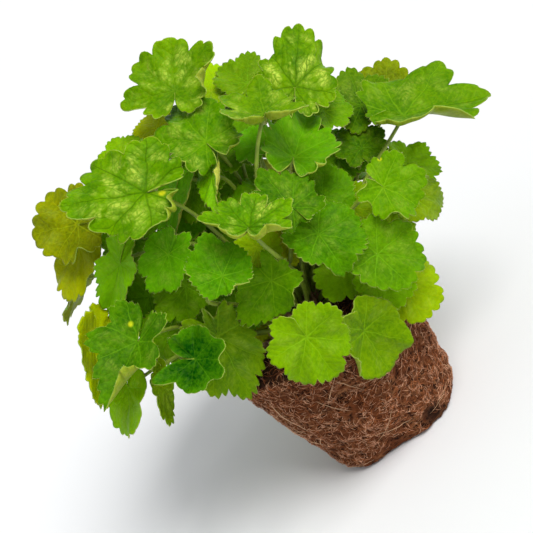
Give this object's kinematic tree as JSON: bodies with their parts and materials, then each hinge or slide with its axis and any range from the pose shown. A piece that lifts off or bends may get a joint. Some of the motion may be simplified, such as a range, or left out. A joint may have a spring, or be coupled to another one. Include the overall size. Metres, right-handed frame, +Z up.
{
  "type": "heuchera plant",
  "caption": "Lime-leaved coral bells perennial out of its pot: pot-shaped root ball, woody crown and a full dome of scalloped leaves on slender stalks.",
  "frame": {"origin": "middle of the root ball's flat foot, on the surface it stands on", "axes": "+Z up along the axis of the root ball, from its foot to the crown; -Y towards the side that the picture shows most of, +X to the right from there"},
  "size_m": [0.2676, 0.2115, 0.2525],
  "materials": {
    "compost": "rough dark compost matted with fine pale brown roots",
    "woody_crown": "rough dark brown bark and dry leaf bases",
    "lime_leaf": "soft satin, lime green with pale mottling, finely hairy edge",
    "green_leaf": "soft satin mid green, finely hairy edge",
    "deep_green_leaf": "soft satin deep green, finely hairy edge",
    "olive_leaf": "matte olive green, finely hairy edge"
  },
  "bodies": {
    "root": {"root_ball": "compost", "crown": "woody_crown", "leaf_01": "lime_leaf", "leaf_02": "olive_leaf", "leaf_03": "green_leaf", "leaf_04": "lime_leaf", "leaf_05": "lime_leaf", "leaf_06": "lime_leaf", "leaf_07": "olive_leaf", "leaf_08": "lime_leaf", "leaf_09": "green_leaf", "leaf_10": "green_leaf", "leaf_11": "olive_leaf", "leaf_12": "olive_leaf", "leaf_13": "deep_green_leaf", "leaf_14": "olive_leaf", "leaf_15": "green_leaf", "leaf_16": "green_leaf", "leaf_17": "olive_leaf", "leaf_18": "deep_green_leaf", "leaf_19": "lime_leaf", "leaf_20": "lime_leaf", "leaf_21": "lime_leaf", "leaf_22": "lime_leaf", "leaf_23": "green_leaf", "leaf_24": "lime_leaf", "leaf_25": "lime_leaf", "leaf_26": "green_leaf", "leaf_27": "lime_leaf", "leaf_28": "lime_leaf", "leaf_29": "green_leaf", "leaf_30": "lime_leaf", "leaf_31": "olive_leaf", "leaf_32": "green_leaf", "leaf_33": "lime_leaf", "leaf_34": "green_leaf", "leaf_35": "deep_green_leaf", "leaf_36": "green_leaf", "leaf_37": "lime_leaf", "leaf_38": "green_leaf", "leaf_39": "lime_leaf", "leaf_40": "green_leaf", "leaf_41": "green_leaf", "leaf_42": "deep_green_leaf", "leaf_43": "deep_green_leaf", "leaf_44": "deep_green_leaf", "leaf_45": "olive_leaf", "leaf_46": "deep_green_leaf", "leaf_47": "olive_leaf", "shoot_01": "green_leaf", "shoot_02": "lime_leaf", "shoot_03": "green_leaf", "shoot_04": "lime_leaf", "shoot_05": "green_leaf", "shoot_06": "lime_leaf", "shoot_07": "green_leaf", "shoot_08": "olive_leaf"}
  },
  "joints": []
}
